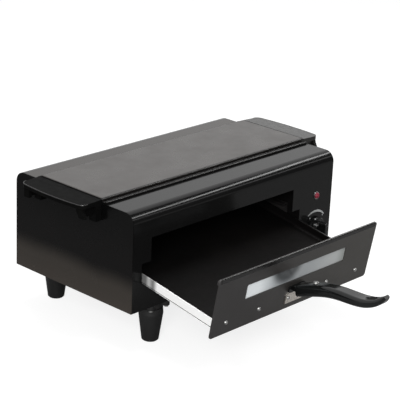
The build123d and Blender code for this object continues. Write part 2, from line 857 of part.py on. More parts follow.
with BuildPart() as baking_tray:
    with BuildSketch(rail_plane.offset(rail_up + rail_sheet)):
        with Locations((0, -frame_middle_out)):
            RectangleRounded(
                2 * (rail_half_width - rail_sheet - tray_fit),
                frame_length - 2 * (rail_sheet + tray_fit),
                tray_corner,
            )
    extrude(amount=rail_height - rail_sheet - tray_fit)
    tray_floor = baking_tray.faces().sort_by(Axis(pivot_point, up_direction))[0]
    fillet(tray_floor.edges(), tray_bottom_radius)
    tray_mouth = baking_tray.faces().sort_by(Axis(pivot_point, up_direction))[-1]
    offset(amount=-tray_wall, openings=tray_mouth)
baking_tray.part.label = "baking_tray"
export_step(baking_tray.part, "parts/baking_tray.step")

# Door: a plate with a long window, the glass behind it and the frame that holds the glass
window_x = window_left + window_width / 2
window_up = window_bottom_up + window_height / 2
window_corner = 2
bracket_screw_span = 23
bracket_screw_up = 8.5

with BuildPart() as door_plate:
    door_depth = door_sheet + door_hem_depth
    with BuildSketch(drawer_side.offset(-door_width / 2)):
        sheet_top_up = door_top_up - door_hem_edge
        with Locations((door_out - door_sheet / 2, (door_bottom_up + sheet_top_up) / 2)):
            Rectangle(door_sheet, sheet_top_up - door_bottom_up)
        with Locations((door_out - door_depth / 2, door_top_up - door_hem_height / 2)):
            RectangleRounded(door_depth, door_hem_height, door_hem_edge)
    extrude(amount=door_width)
    with BuildSketch(door_plane.offset(door_out)):
        with Locations((0, (door_bottom_up + door_top_up) / 2)):
            RectangleRounded(door_width, door_top_up - door_bottom_up, door_corner)
    extrude(amount=-door_depth, mode=Mode.INTERSECT)
    with BuildSketch(door_plane.offset(door_out)):
        with Locations((window_x, window_up)):
            RectangleRounded(window_width, window_height, window_corner)
        for span in door_screw_spans:
            with Locations((0, door_screw_up)):
                with GridLocations(span, 0, 2, 1):
                    Circle(screw_hole_radius)
        with Locations((0, bracket_screw_up)):
            with GridLocations(bracket_screw_span, 0, 2, 1):
                Circle(screw_hole_radius)
    extrude(amount=-door_depth, mode=Mode.SUBTRACT)
door_plate.part.label = "door_plate"
export_step(door_plate.part, "parts/door_plate.step")

with BuildPart() as window_glass:
    with BuildSketch(door_plane.offset(door_out - door_sheet)):
        with Locations((window_x, window_up)):
            Rectangle(window_width + 2 * glass_margin, window_height + 2 * glass_margin)
    extrude(amount=-glass_thickness)
window_glass.part.label = "window_glass"
export_step(window_glass.part, "parts/window_glass.step")

retainer_wall = 1.0
with BuildPart() as glass_retainer:
    with BuildSketch(door_plane.offset(door_out - door_sheet)):
        with Locations((window_x, window_up)):
            RectangleRounded(
                window_width + 2 * (glass_margin + fit + retainer_wall),
                window_height + 2 * (glass_margin + fit + retainer_wall),
                window_corner,
            )
            RectangleRounded(window_width, window_height, window_corner, mode=Mode.SUBTRACT)
    extrude(amount=-(glass_thickness + retainer_wall))
    with BuildSketch(door_plane.offset(door_out - door_sheet)):
        with Locations((window_x, window_up)):
            Rectangle(
                window_width + 2 * (glass_margin + fit), window_height + 2 * (glass_margin + fit)
            )
    extrude(amount=-glass_thickness, mode=Mode.SUBTRACT)
glass_retainer.part.label = "glass_retainer"
export_step(glass_retainer.part, "parts/glass_retainer.step")

door_screw_head = 2.8
door_screw_rise = 1.6
bracket_screw_head = 2.4
bracket_screw_rise = 1.2
screw_head_taper = 25

with BuildPart() as door_screws:
    with BuildSketch(door_plane.offset(door_out)):
        for span in door_screw_spans:
            with Locations((0, door_screw_up)):
                with GridLocations(span, 0, 2, 1):
                    Circle(door_screw_head)
    extrude(amount=door_screw_rise, taper=screw_head_taper)
    with BuildSketch(door_plane.offset(door_out)):
        for span in door_screw_spans:
            with Locations((0, door_screw_up)):
                with GridLocations(span, 0, 2, 1):
                    Circle(screw_shank)
    extrude(amount=-(door_sheet + rail_sheet))
door_screws.part.label = "door_screws"
export_step(door_screws.part, "parts/door_screws.step")

# Handle bracket: a plate screwed to the door and a tongue that enters the handle
bracket_width = 32
bracket_bottom_up = 0.6
bracket_top_up = 16.4
bracket_sheet = 1.5
bracket_corner = 5
tongue_width = 8
tongue_thickness = 3
tongue_root = 9
tongue_tip_room = 1
tongue_points = [(0, 19), (10, 21.5), (34, 32)]
bracket_face_out = door_out + bracket_sheet
tongue_root_up = tongue_points[0][1] + (tongue_thickness - tongue_root) / 2

with BuildPart() as handle_bracket:
    with BuildSketch(door_plane.offset(door_out)) as bracket_face:
        with Locations((0, (bracket_bottom_up + bracket_top_up) / 2)):
            Rectangle(bracket_width, bracket_top_up - bracket_bottom_up)
        chamfer(bracket_face.vertices().group_by(Axis.Y)[-1], bracket_corner)
        with Locations((0, tongue_root_up)):
            Rectangle(tongue_width, tongue_root)
        with Locations((0, bracket_screw_up)):
            with GridLocations(bracket_screw_span, 0, 2, 1):
                Circle(screw_hole_radius, mode=Mode.SUBTRACT)
    extrude(amount=bracket_sheet)
    with BuildSketch(drawer_side.offset(-tongue_width / 2)):
        with BuildLine():
            Polyline(
                *[(door_out + out, up - tongue_thickness / 2) for out, up in tongue_points],
                *[(door_out + out, up + tongue_thickness / 2) for out, up in tongue_points[::-1]],
                close=True,
            )
        make_face()
    extrude(amount=tongue_width)
handle_bracket.part.label = "handle_bracket"
export_step(handle_bracket.part, "parts/handle_bracket.step")

with BuildPart() as bracket_screws:
    with BuildSketch(door_plane.offset(bracket_face_out)):
        with Locations((0, bracket_screw_up)):
            with GridLocations(bracket_screw_span, 0, 2, 1):
                Circle(bracket_screw_head)
    extrude(amount=bracket_screw_rise, taper=screw_head_taper)
    with BuildSketch(door_plane.offset(bracket_face_out)):
        with Locations((0, bracket_screw_up)):
            with GridLocations(bracket_screw_span, 0, 2, 1):
                Circle(screw_shank)
    extrude(amount=-(door_sheet + bracket_sheet))
bracket_screws.part.label = "bracket_screws"
export_step(bracket_screws.part, "parts/bracket_screws.step")

# Door handle: a flange and a neck round the tongue, then an S-curved grip lofted through
# rounded sections. Each station is distance from the bracket, height, slope, width, thickness.
handle_flange_width = 30
handle_flange_height = 9
handle_flange_thickness = 2
handle_neck_width = 12.5
handle_neck_height = 8.5
handle_neck_up = 20.9
handle_edge_share = 0.38
handle_stations = [
    (8.5, 21.4, 14, 23, 15),
    (19, 26.8, 26, 23, 15),
    (43, 38.6, 22, 22, 14.5),
    (73, 47.4, 10, 22, 12.8),
    (100, 53.3, 16, 22.5, 11),
    (118, 62, 36, 19, 9),
    (129, 74.5, 52, 9, 4.5),
]
hang_hole_out = 104
hang_hole_up = 70
hang_hole_radius = 2.5
hang_hole_depth = 40
handle_screw_out = 28
handle_screw_up = 39.5
handle_screw_slope = 24
handle_screw_head = 4
handle_screw_rise = 2
handle_screw_seat = 1
handle_screw_length = 6
handle_bore_start = 12
handle_bore_length = 20


def drawer_point(out, up):
    """A place on the drawer's middle plane."""
    return Vector(*pivot_point) + out_direction * out + up_direction * up


with BuildPart() as door_handle:
    with BuildSketch(door_plane.offset(bracket_face_out)):
        with Locations((0, bracket_top_up + fit + handle_flange_height / 2)):
            RectangleRounded(handle_flange_width, handle_flange_height, handle_flange_thickness)
    extrude(amount=handle_flange_thickness)
    with BuildSketch(door_plane.offset(bracket_face_out)):
        with Locations((0, handle_neck_up)):
            RectangleRounded(handle_neck_width, handle_neck_height, handle_flange_thickness)
    extrude(amount=handle_stations[0][0] + handle_neck_height / 2)
    for out, up, slope, width, thickness in handle_stations:
        along = out_direction * cos(radians(slope)) + up_direction * sin(radians(slope))
        station = Plane(
            origin=drawer_point(bracket_face_out + out, up), x_dir=(1, 0, 0), z_dir=along
        )
        with BuildSketch(station):
            RectangleRounded(width, thickness, handle_edge_share * thickness)
    loft()
    with BuildSketch(drawer_side.offset(-tongue_width / 2 - fit)):
        with BuildLine():
            Polyline(
                *[(door_out + out, up - tongue_thickness / 2 - fit) for out, up in tongue_points],
                (
                    door_out + tongue_points[-1][0] + tongue_tip_room,
                    tongue_points[-1][1] + tongue_thickness / 2,
                ),
                *[(door_out + out, up + tongue_thickness / 2 + fit) for out, up in tongue_points[::-1]],
                close=True,
            )
        make_face()
    extrude(amount=tongue_width + 2 * fit, mode=Mode.SUBTRACT)
    hang_hole = Plane(
        origin=drawer_point(bracket_face_out + hang_hole_out, hang_hole_up),
        x_dir=(1, 0, 0),
        z_dir=up_direction,
    )
    with BuildSketch(hang_hole):
        Circle(hang_hole_radius)
    extrude(amount=-hang_hole_depth, mode=Mode.SUBTRACT)
    handle_screw_plane = Plane(
        origin=drawer_point(bracket_face_out + handle_screw_out, handle_screw_up),
        x_dir=(1, 0, 0),
        z_dir=up_direction * cos(radians(handle_screw_slope))
        - out_direction * sin(radians(handle_screw_slope)),
    )
    with BuildSketch(handle_screw_plane.offset(-handle_bore_start)):
        Circle(screw_hole_radius)
    extrude(amount=handle_bore_length, mode=Mode.SUBTRACT)
door_handle.part.label = "door_handle"
export_step(door_handle.part, "parts/door_handle.step")

with BuildPart() as handle_screw:
    with BuildSketch(handle_screw_plane.offset(handle_screw_seat)):
        Circle(handle_screw_head)
    extrude(amount=handle_screw_rise, taper=screw_head_taper)
    with BuildSketch(handle_screw_plane.offset(handle_screw_seat)):
        Circle(screw_shank)
    extrude(amount=-handle_screw_length)
handle_screw.part.label = "handle_screw"
export_step(handle_screw.part, "parts/handle_screw.step")

# Lid: a shallow pan turned over the grill
lid_y = (front_y + lid_front_margin, rear_y - lid_rear_margin)
lid_top = top_z + lid_rise
lid_screw_z = top_z + 2.2
lid_screw_head = 1.6
lid_screw_rise = 1.8
lid_screw_length = 8
lid_screw_hole = 1.1
lid_screw_ys = (lid_y[0] + lid_lug_width / 2, lid_y[1] - lid_lug_width / 2)

with BuildPart() as lid_plate:
    block((-half_width, half_width), lid_y, (top_z + seat, lid_top))
    fillet(lid_plate.faces().sort_by(Axis.Z)[-1].edges(), lid_edge_radius)
    offset(amount=-sheet, openings=lid_plate.faces().sort_by(Axis.Z)[0])
    with BuildSketch(Plane.YZ.offset(-half_width)):
        with Locations(*[(y, lid_screw_z) for y in lid_screw_ys]):
            Circle(lid_screw_hole)
    extrude(amount=2 * half_width, mode=Mode.SUBTRACT)
lid_plate.part.label = "lid_plate"
export_step(lid_plate.part, "parts/lid_plate.step")

# Lid handles: a bowed shelf with a turned-down rim, and at each end a web, a leg and a lug
handle_inner = half_width + fit
handle_outer = half_width + lid_handle_reach
handle_top = lid_top - 1
handle_under = handle_top - lid_handle_thickness
rim_bottom = handle_top - lid_rim_height
lug_inner = half_width + 0.9
lug_thickness = 9
lug_bottom = handle_top - lid_lug_depth
leg_bottom = handle_top - lid_leg_depth
leg_middle = (handle_under + leg_bottom) / 2
leg_outer = handle_outer - lid_handle_bow - 1.5
leg_inset = 4
web_inset = 5
handle_mid_y = (lid_y[0] + lid_y[1]) / 2
handle_half_length = (lid_y[1] - lid_y[0]) / 2


def lid_handle(side):
    """The handle on one side of the lid, the left for side -1."""
    with BuildPart() as handle:
        with BuildSketch(Plane.XY.offset(rim_bottom)) as plan:
            with BuildLine():
                inner = side * handle_inner
                outer = side * (handle_outer - lid_handle_bow)
                Polyline(
                    (outer, lid_y[1]),
                    (inner, lid_y[1]),
                    (inner, lid_y[0]),
                    (outer, lid_y[0]),
                )
                ThreePointArc(
                    (outer, lid_y[0]), (side * handle_outer, handle_mid_y), (outer, lid_y[1])
                )
            make_face()
            outer_corners = plan.vertices().sort_by(Axis.X)
            fillet(outer_corners[:2] if side < 0 else outer_corners[-2:], lid_handle_corner)
        extrude(amount=lid_rim_height)
        with BuildSketch(Plane.XZ.offset(-handle_mid_y)):
            with BuildLine():
                Polyline(
                    (side * handle_inner, handle_top),
                    (side * (handle_outer + fit), handle_top),
                    (side * (handle_outer + fit), handle_top - lid_handle_drop),
                    close=True,
                )
            make_face()
        extrude(amount=handle_half_length + fit, both=True, mode=Mode.SUBTRACT)
        with BuildSketch(Plane.XY.offset(rim_bottom)):
            add(offset(plan.sketch.faces(), amount=-lid_rim_thickness, mode=Mode.PRIVATE))
            with Locations((side * (handle_inner + lid_rim_thickness), handle_mid_y)):
                Rectangle(
                    2 * lid_rim_thickness + fit, 2 * (handle_half_length - lid_rim_thickness)
                )
        extrude(amount=handle_under - rim_bottom, mode=Mode.SUBTRACT)
        for end in (-1, 1):
            end_y = handle_mid_y + end * handle_half_length
            web_y = end_y - end * web_inset
            leg_y = end_y - end * leg_inset
            leg_back_y = leg_y - end * lid_leg_width
            leg_flare = lid_leg_flare if end < 0 else 0
            block(
                sorted((side * (lug_inner + fit), side * (leg_outer - fit))),
                sorted((web_y, web_y - end * lid_web_thickness)),
                (leg_bottom + fit, handle_under),
            )
            block(
                sorted((side * lug_inner, side * (lug_inner + lug_thickness))),
                sorted((end_y, end_y - end * lid_lug_width)),
                (lug_bottom, handle_under),
            )
            with BuildSketch(Plane.YZ.offset(side * leg_outer)):
                with BuildLine():
                    Polyline(
                        (leg_y, handle_under),
                        (leg_back_y, handle_under),
                        (leg_back_y, leg_middle),
                        (leg_back_y + end * leg_flare, leg_bottom),
                        (leg_y + end * leg_flare, leg_bottom),
                        (leg_y + end * leg_flare / 3, leg_middle),
                        close=True,
                    )
                make_face()
            extrude(amount=-side * lid_leg_thickness)
        with BuildSketch(Plane.YZ.offset(side * handle_inner)):
            with Locations(*[(y, lid_screw_z) for y in lid_screw_ys]):
                Circle(lid_screw_hole)
        extrude(amount=side * lid_screw_length, mode=Mode.SUBTRACT)
    return handle.part


left_lid_handle = lid_handle(-1)
left_lid_handle.label = "left_lid_handle"
export_step(left_lid_handle, "parts/left_lid_handle.step")

right_lid_handle = lid_handle(1)
right_lid_handle.label = "right_lid_handle"
export_step(right_lid_handle, "parts/right_lid_handle.step")

with BuildPart() as lid_handle_screws:
    for side in (-1, 1):
        for y in lid_screw_ys:
            lid_screw = Plane(
                origin=(side * (half_width - sheet), y, lid_screw_z), z_dir=(side, 0, 0)
            )
            with Locations(lid_screw):
                Cylinder(
                    lid_screw_head, lid_screw_rise, align=(Align.CENTER, Align.CENTER, Align.MAX)
                )
                Cylinder(
                    lid_screw_hole - fit / 2,
                    lid_screw_length,
                    align=(Align.CENTER, Align.CENTER, Align.MIN),
                )
lid_handle_screws.part.label = "lid_handle_screws"
export_step(lid_handle_screws.part, "parts/lid_handle_screws.step")
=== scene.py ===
import math

import bpy
from mathutils import Matrix, Vector


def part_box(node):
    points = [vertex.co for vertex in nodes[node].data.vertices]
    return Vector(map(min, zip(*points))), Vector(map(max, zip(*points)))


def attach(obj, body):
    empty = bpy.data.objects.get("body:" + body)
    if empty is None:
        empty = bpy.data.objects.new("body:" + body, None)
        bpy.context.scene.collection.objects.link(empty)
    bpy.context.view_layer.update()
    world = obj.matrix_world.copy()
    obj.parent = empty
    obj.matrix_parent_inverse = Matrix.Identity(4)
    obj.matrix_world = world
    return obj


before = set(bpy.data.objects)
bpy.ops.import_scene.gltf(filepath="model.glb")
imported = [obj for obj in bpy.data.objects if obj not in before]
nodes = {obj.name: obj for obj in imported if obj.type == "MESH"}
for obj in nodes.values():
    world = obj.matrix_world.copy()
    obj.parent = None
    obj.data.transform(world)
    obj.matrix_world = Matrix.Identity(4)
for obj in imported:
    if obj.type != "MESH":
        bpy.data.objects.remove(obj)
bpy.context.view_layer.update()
scene = bpy.context.scene

# Places on the oven, in metres, in the frame of the solids
CASE_LOW, CASE_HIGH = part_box("case_wrap")
LID_LOW, LID_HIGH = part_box("lid_plate")
DOOR_LOW, DOOR_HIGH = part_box("door_plate")
GLASS_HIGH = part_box("window_glass")[1]
FRONT_Y = CASE_LOW.y
CASE_BOTTOM = CASE_LOW.z
KNOB_X = 0.157
KNOB_Z = CASE_BOTTOM + 0.024


# Colours
def linear(value):
    """A 0-255 display value as linear light."""
    value = value / 255
    if value <= 0.04045:
        return value / 12.92
    return ((value + 0.055) / 1.055) ** 2.4


def rgb(red, green, blue):
    return (linear(red), linear(green), linear(blue), 1.0)


# Parts of a node tree
def new_material(name):
    material = bpy.data.materials.new(name)
    material.use_nodes = True
    tree = material.node_tree
    tree.nodes.clear()
    output = tree.nodes.new("ShaderNodeOutputMaterial")
    shader = tree.nodes.new("ShaderNodeBsdfPrincipled")
    tree.links.new(shader.outputs["BSDF"], output.inputs["Surface"])
    return material, tree, shader


def principled(material):
    return material.node_tree.nodes["Principled BSDF"]


def noise(tree, scale, detail=3.0, roughness=0.5, stretch=(1, 1, 1)):
    """Noise on the object's own coordinates, in metres."""
    coordinates = tree.nodes.new("ShaderNodeTexCoord")
    mapping = tree.nodes.new("ShaderNodeMapping")
    mapping.inputs["Scale"].default_value = stretch
    texture = tree.nodes.new("ShaderNodeTexNoise")
    texture.inputs["Scale"].default_value = scale
    texture.inputs["Detail"].default_value = detail
    texture.inputs["Roughness"].default_value = roughness
    tree.links.new(coordinates.outputs["Object"], mapping.inputs["Vector"])
    tree.links.new(mapping.outputs["Vector"], texture.inputs["Vector"])
    return texture.outputs["Fac"]


def object_axis(tree, axis):
    """A point's place along one axis of the oven."""
    coordinates = tree.nodes.new("ShaderNodeTexCoord")
    parts = tree.nodes.new("ShaderNodeSeparateXYZ")
    tree.links.new(coordinates.outputs["Object"], parts.inputs["Vector"])
    return parts.outputs[axis]


def ramp(tree, source, stops):
    """Colours or greys picked by a 0-1 value."""
    node = tree.nodes.new("ShaderNodeValToRGB")
    node.color_ramp.interpolation = "EASE"
    elements = node.color_ramp.elements
    while len(elements) < len(stops):
        elements.new(0.5)
    for element, (position, colour) in zip(elements, stops):
        element.position = position
        element.color = colour if hasattr(colour, "__len__") else (colour, colour, colour, 1)
    tree.links.new(source, node.inputs["Fac"])
    return node.outputs["Color"]


def vary(tree, source, span, values, socket):
    """Take a socket from one value to another while the source crosses a span."""
    tree.links.new(ramp(tree, source, list(zip(span, values))), socket)


def bump(tree, shader, source, height, strength):
    node = tree.nodes.new("ShaderNodeBump")
    node.inputs["Strength"].default_value = strength
    node.inputs["Distance"].default_value = height
    tree.links.new(source, node.inputs["Height"])
    tree.links.new(node.outputs["Normal"], shader.inputs["Normal"])


def span_share(tree, source, low, high):
    """How far a value lies between two others, 0 to 1."""
    place = tree.nodes.new("ShaderNodeMapRange")
    place.inputs["From Min"].default_value = low
    place.inputs["From Max"].default_value = high
    tree.links.new(source, place.inputs["Value"])
    return place.outputs["Result"]


def axis_share(material, axis, low, high):
    """How far a point lies between two places on an axis, 0 to 1."""
    tree = material.node_tree
    return span_share(tree, object_axis(tree, axis), low, high)


def distance_share(material, place, reach):
    """How far a point lies from a place, as a share of a reach."""
    tree = material.node_tree
    coordinates = tree.nodes.new("ShaderNodeTexCoord")
    gap = tree.nodes.new("ShaderNodeVectorMath")
    gap.operation = "DISTANCE"
    gap.inputs[1].default_value = place
    tree.links.new(coordinates.outputs["Object"], gap.inputs[0])
    scaled = tree.nodes.new("ShaderNodeMath")
    scaled.operation = "DIVIDE"
    scaled.inputs[1].default_value = reach
    tree.links.new(gap.outputs["Value"], scaled.inputs[0])
    return scaled.outputs["Value"]


# Kinds of material. Where no colours are given, shade_along gives them
def enamel(name, colours, roughness, peel=0.00004):
    """Baked enamel: faint clouding, a satin that varies and a fine orange peel."""
    material, tree, shader = new_material(name)
    if colours:
        clouds = noise(tree, 9, 4, 0.6)
        vary(tree, clouds, (0.3, 0.75), colours, shader.inputs["Base Color"])
    rub = noise(tree, 26, 5, 0.65)
    vary(tree, rub, (0.3, 0.75), roughness, shader.inputs["Roughness"])
    bump(tree, shader, noise(tree, 900, 2), peel, 0.35)
    return material


def moulding(name, colours, roughness):
    """Moulded plastic: a fine spark-eroded grain and faint flow marks."""
    material, tree, shader = new_material(name)
    flow = noise(tree, 40, 4, 0.6, (1, 1, 0.35))
    vary(tree, flow, (0.3, 0.8), colours, shader.inputs["Base Color"])
    vary(tree, noise(tree, 160, 3), (0.3, 0.7), roughness, shader.inputs["Roughness"])
    bump(tree, shader, noise(tree, 1600, 2), 0.00005, 0.4)
    return material


def metal(name, colours, roughness, stretch=(1, 1, 1), metallic=1.0):
    """Bare, plated or painted metal with rolling marks along its length."""
    material, tree, shader = new_material(name)
    shader.inputs["Metallic"].default_value = metallic
    marks = noise(tree, 300, 4, 0.6, stretch)
    if colours:
        vary(tree, marks, (0.3, 0.7), colours, shader.inputs["Base Color"])
    vary(tree, marks, (0.3, 0.7), roughness, shader.inputs["Roughness"])
    bump(tree, shader, marks, 0.00002, 0.3)
    return material


def tinted(red, green, blue):
    """The colour of a metal, given as linear light."""
    return (red, green, blue, 1)


def lens_material():
    """The lamp's translucent pink-red lens."""
    material, tree, shader = new_material("lamp_lens_red")
    colours = (rgb(120, 30, 46), rgb(170, 66, 84))
    vary(tree, noise(tree, 500, 3), (0.3, 0.7), colours, shader.inputs["Base Color"])
    shader.inputs["Roughness"].default_value = 0.38
    shader.inputs["Transmission Weight"].default_value = 0.2
    return material


def glass_material():
    """The window's thick glass, rubbed dull in places."""
    material, tree, shader = new_material("window_glass")
    shader.inputs["IOR"].default_value = 1.5
    vary(tree, noise(tree, 120, 3), (0.3, 0.7), (0.08, 0.18), shader.inputs["Roughness"])
    return material


def shade_along(material, axis, stops, colours, cloud=0.012):
    """Blend the base colour along one axis of the oven, with a cloudy edge."""
    tree = material.node_tree
    wander = tree.nodes.new("ShaderNodeMath")
    wander.operation = "MULTIPLY_ADD"
    tree.links.new(noise(tree, 14, 3), wander.inputs[0])
    wander.inputs[1].default_value = cloud
    tree.links.new(object_axis(tree, axis), wander.inputs[2])
    along = span_share(tree, wander.outputs["Value"], stops[0], stops[-1])
    length = stops[-1] - stops[0]
    shares = [((stop - stops[0]) / length, colour) for stop, colour in zip(stops, colours)]
    tree.links.new(ramp(tree, along, shares), principled(material).inputs["Base Color"])


def darken(material, amounts, shares):
    """Multiply the base colour by greys that follow a 0-1 value."""
    tree = material.node_tree
    base = principled(material).inputs["Base Color"]
    mix = tree.nodes.new("ShaderNodeMix")
    mix.data_type = "RGBA"
    mix.blend_type = "MULTIPLY"
    mix.inputs["Factor"].default_value = 1.0
    tree.links.new(base.links[0].from_socket, mix.inputs["A"])
    tree.links.new(ramp(tree, amounts, shares), mix.inputs["B"])
    tree.links.new(mix.outputs["Result"], base)


# Enamels
SMOOTH_PEEL = 0.00001
case_black = enamel("case_black", None, (0.1, 0.16), SMOOTH_PEEL)
side_black = enamel("side_black", None, (0.2, 0.3), SMOOTH_PEEL)
lid_black = enamel("lid_black", None, (0.26, 0.36))
door_black = enamel("door_black", None, (0.3, 0.42))
base_black = enamel("base_black", (rgb(16, 16, 16), rgb(22, 22, 21)), (0.42, 0.55))
# The liner is painted near black as painted shade inside the oven
oven_black = enamel("oven_black", (rgb(5, 4, 4), rgb(9, 8, 7)), (0.6, 0.75))
tray_black = enamel("tray_black", (rgb(8, 7, 7), rgb(14, 12, 11)), (0.5, 0.65))
hem_black = enamel("hem_black", (rgb(16, 15, 15), rgb(26, 25, 24)), (0.2, 0.3))

# Mouldings and print
# The left lid handle is painted darker and the right one lighter: painted shade and painted light
# on one moulding
handle_shaded = moulding("handle_shaded", (rgb(12, 12, 12), rgb(17, 17, 16)), (0.3, 0.4))
handle_lit = moulding("handle_lit", (rgb(24, 23, 21), rgb(32, 30, 28)), (0.26, 0.34))
foot_black = moulding("foot_black", (rgb(24, 24, 24), rgb(31, 30, 30)), (0.4, 0.5))
handle_black = moulding("handle_black", (rgb(14, 15, 15), rgb(20, 21, 21)), (0.09, 0.15))
knob_black = moulding("knob_black", (rgb(9, 10, 10), rgb(14, 15, 15)), (0.18, 0.26))
control_black = moulding("control_black", (rgb(26, 26, 27), rgb(34, 34, 34)), (0.4, 0.5))
ceramic = moulding("ceramic", (rgb(214, 208, 194), rgb(228, 222, 210)), (0.2, 0.3))
# Painted highlight: the lighter lips along the lid handles' outer edges
lip_highlight = moulding("lip_highlight", (rgb(34, 33, 33), rgb(44, 43, 42)), (0.25, 0.35))
seam_black = moulding("seam_black", (rgb(6, 6, 6), rgb(10, 10, 10)), (0.6, 0.75))
print_white = moulding("print_white", (rgb(150, 152, 152), rgb(190, 192, 192)), (0.45, 0.55))

# Metals
rail_metal = metal("rail_metal", None, (0.2, 0.3), (1, 0.05, 1), 0.0)
guide_colours = (tinted(0.06, 0.06, 0.06), tinted(0.14, 0.13, 0.13))
guide_metal = metal("guide_metal", guide_colours, (0.4, 0.55), (1, 0.1, 1))
bracket_colours = (tinted(0.72, 0.67, 0.62), tinted(0.92, 0.87, 0.8))
bracket_metal = metal("bracket_metal", bracket_colours, (0.26, 0.4))
screw_colours = (tinted(0.36, 0.36, 0.35), tinted(0.5, 0.5, 0.49))
screw_metal = metal("screw_metal", screw_colours, (0.4, 0.5))
wire_colours = (tinted(0.6, 0.6, 0.6), tinted(0.8, 0.8, 0.8))
wire_metal = metal("wire_metal", wire_colours, (0.2, 0.3))
element_colours = (tinted(0.06, 0.055, 0.05), tinted(0.14, 0.12, 0.11))
element_metal = metal("element_metal", element_colours, (0.45, 0.6))
rim_colours = (tinted(0.3, 0.3, 0.3), tinted(0.45, 0.45, 0.45))
rim_metal = metal("rim_metal", rim_colours, (0.25, 0.35))

# Lamp lens and window
lens_red = lens_material()
window_pane = glass_material()

for material, level in (
    (case_black, 0.22),
    (side_black, 0.12),
    (handle_shaded, 0.01),
    (seam_black, 0.05),
    (handle_black, 0.38),
    (tray_black, 0.1),
    (oven_black, 0.15),
    (lens_red, 0.25),
):
    principled(material).inputs["Specular IOR Level"].default_value = level

# Painted reflection of the floor: the side plates are painted lighter towards the floor and near
# black at the top
shade_along(
    side_black,
    "Z",
    (0.055, 0.085, 0.112, 0.184),
    (rgb(64, 59, 55), rgb(58, 54, 50), rgb(15, 14, 14), rgb(9, 9, 9)),
)

# Painted shade: the lid's skirt and a margin along its front edge are painted darker than its top
shade_along(
    lid_black,
    "Z",
    (LID_HIGH.z - 0.005, LID_HIGH.z - 0.0012),
    (rgb(22, 22, 21), rgb(52, 48, 45)),
    0.0008,
)
darken(
    lid_black,
    axis_share(lid_black, "Y", LID_LOW.y + 0.0015, LID_LOW.y + 0.0055),
    [(0.0, 0.2), (1.0, 1.0)],
)

# Painted reflection: the case top behind the lid is painted the warm grey of the lid's top, the
# rest of the case near black
shade_along(
    case_black,
    "Y",
    (LID_HIGH.y - 0.02, LID_HIGH.y - 0.005, CASE_HIGH.y - 0.02, CASE_HIGH.y - 0.006),
    (rgb(18, 18, 18), rgb(50, 46, 43), rgb(50, 46, 43), rgb(18, 18, 18)),
    0.002,
)
# Painted light: the door is painted lighter towards its right end
shade_along(door_black, "X", (-0.17, 0.12), (rgb(44, 42, 42), rgb(60, 58, 55)))

# Painted reflection: the left rail is painted white for the bright room it mirrors and the right
# rail dark, and both are painted darker and uneven where they leave the slot, for the black case
# they mirror
shade_along(rail_metal, "X", (-0.12, 0.06), (rgb(253, 253, 252), rgb(40, 40, 40)))
darken(
    rail_metal,
    axis_share(rail_metal, "Y", FRONT_Y - 0.026, FRONT_Y - 0.004),
    [(0.0, 1.0), (0.4, 0.22), (0.7, 0.5), (1.0, 0.16)],
)

# Painted reflections on the window: bright at its ends, with a painted glint line near the right
# end and a painted dark round reflection left of its middle
WINDOW_REFLECTIONS = (
    (-0.1, rgb(242, 247, 249)),
    (-0.06, rgb(176, 181, 184)),
    (-0.01, rgb(166, 170, 172)),
    (0.05, rgb(184, 187, 187)),
    (0.0665, rgb(160, 164, 162)),
    (0.0685, rgb(240, 243, 242)),
    (0.0705, rgb(160, 164, 162)),
)
WINDOW_DARK_REFLECTION = (-0.046, GLASS_HIGH.y - 0.002, GLASS_HIGH.z + 0.002)
WINDOW_DARK_REFLECTION_REACH = 0.044
shade_along(window_pane, "X", *zip(*WINDOW_REFLECTIONS), 0.002)
darken(
    window_pane,
    distance_share(window_pane, WINDOW_DARK_REFLECTION, WINDOW_DARK_REFLECTION_REACH),
    [(0.45, 0.2), (0.8, 1.0)],
)

NODE_MATERIALS = {
    case_black: ["case_wrap"],
    side_black: ["left_side_plate", "right_side_plate"],
    lid_black: ["lid_plate"],
    base_black: ["base_plate", "left_rail_shoe", "right_rail_shoe"],
    door_black: ["door_plate"],
    oven_black: ["inner_liner"],
    tray_black: ["baking_tray"],
    handle_shaded: ["left_lid_handle"],
    handle_lit: ["right_lid_handle"],
    foot_black: ["front_left_foot", "front_right_foot", "rear_left_foot", "rear_right_foot"],
    handle_black: ["door_handle"],
    knob_black: ["control_knob"],
    control_black: ["thermostat", "terminal_block", "inlet_housing", "lamp_body"],
    rail_metal: ["tray_frame"],
    guide_metal: [
        "left_guide",
        "right_guide",
        "lower_supports",
        "upper_supports",
        "glass_retainer",
    ],
    bracket_metal: ["handle_bracket"],
    screw_metal: [
        "foot_screws",
        "rear_screws",
        "door_screws",
        "bracket_screws",
        "handle_screw",
        "lid_handle_screws",
        "shoe_pins",
        "thermostat_shaft",
        "inlet_pins",
    ],
    wire_metal: ["wire_grill"],
    element_metal: ["lower_element", "upper_element"],
    rim_metal: ["lamp_bezel"],
    ceramic: ["element_bushes"],
    lens_red: ["lamp_lens"],
    window_pane: ["window_glass"],
}
for material, names in NODE_MATERIALS.items():
    for name in names:
        mesh = nodes[name].data
        mesh.materials.clear()
        mesh.materials.append(material)


# Ways to form a piece
def add_piece(name, points, faces, material, body):
    mesh = bpy.data.meshes.new(name)
    mesh.from_pydata(points, [], faces)
    mesh.update()
    mesh.shade_smooth()
    mesh.set_sharp_from_angle(angle=math.radians(40))
    piece = bpy.data.objects.new(name, mesh)
    scene.collection.objects.link(piece)
    mesh.materials.append(material)
    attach(piece, body)
    return piece


def bar(name, profile, start, end, material, body):
    """A closed profile of points (y, z) drawn out along the width of the oven."""
    count = len(profile)
    points = [(x, y, z) for x in (start, end) for y, z in profile]
    faces = [(i, (i + 1) % count, (i + 1) % count + count, i + count) for i in range(count)]
    faces += [tuple(reversed(range(count))), tuple(range(count, 2 * count))]
    return add_piece(name, points, faces, material, body)


